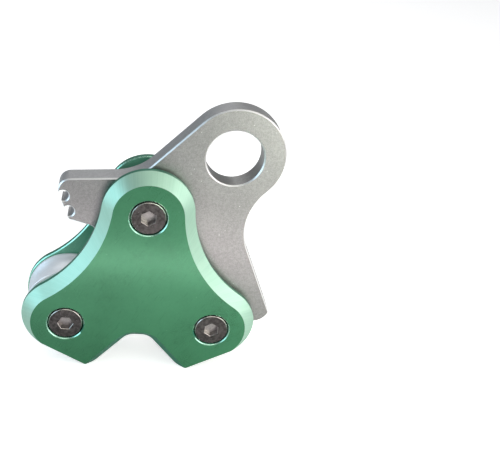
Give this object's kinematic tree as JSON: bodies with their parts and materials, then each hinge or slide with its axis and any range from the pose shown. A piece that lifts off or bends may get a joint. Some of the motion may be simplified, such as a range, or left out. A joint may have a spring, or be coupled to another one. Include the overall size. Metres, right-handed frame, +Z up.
{
  "type": "belay device",
  "caption": "Assisted-braking belay device: two bevelled green cheek plates, a grey cam arm with a carabiner eye and serrated thumb lever, and a fixed rope bollard.",
  "frame": {"origin": "centre of the carabiner eye, midway through the cam arm's thickness", "axes": "+Y along the eye's axis from the front plate to the back plate, +Z up along the device's length, +X to the right seen from the front"},
  "size_m": [0.0951, 0.0266, 0.1049],
  "materials": {
    "green_anodised": "satin green anodise with bright machined bevels",
    "grey_blasted_alloy": "fine bead-blasted bare alloy with bright cut chamfers",
    "bronze": "plain sintered bronze",
    "plain_steel": "ground steel",
    "black_acetal": "black acetal",
    "spring_steel": "bright drawn spring wire",
    "white_steel": "smooth pale satin steel",
    "dark_screw_steel": "dark oxidised steel with a bright rim"
  },
  "bodies": {
    "arm": {"cam_arm": "grey_blasted_alloy", "arm_bush": "bronze"},
    "cheeks": {"front_cheek_plate": "green_anodised", "back_cheek_plate": "green_anodised", "pivot_sleeve": "plain_steel", "front_thrust_washer": "black_acetal", "back_thrust_collar": "black_acetal", "return_spring": "spring_steel", "rope_bollard": "white_steel", "bollard_dowels": "plain_steel", "stop_sleeve": "plain_steel", "cheek_screws": "dark_screw_steel", "barrel_nuts": "dark_screw_steel"}
  },
  "joints": [
    {"name": "cheek_pivot", "type": "hinge", "parent": "arm", "child": "cheeks", "pos_m": [-0.02905, 0, -0.02175], "axis": [0, 1, 0], "range_deg": [0, 9], "stiffness_Nm_per_rad": 0.07, "springref_deg": -57.3}
  ]
}
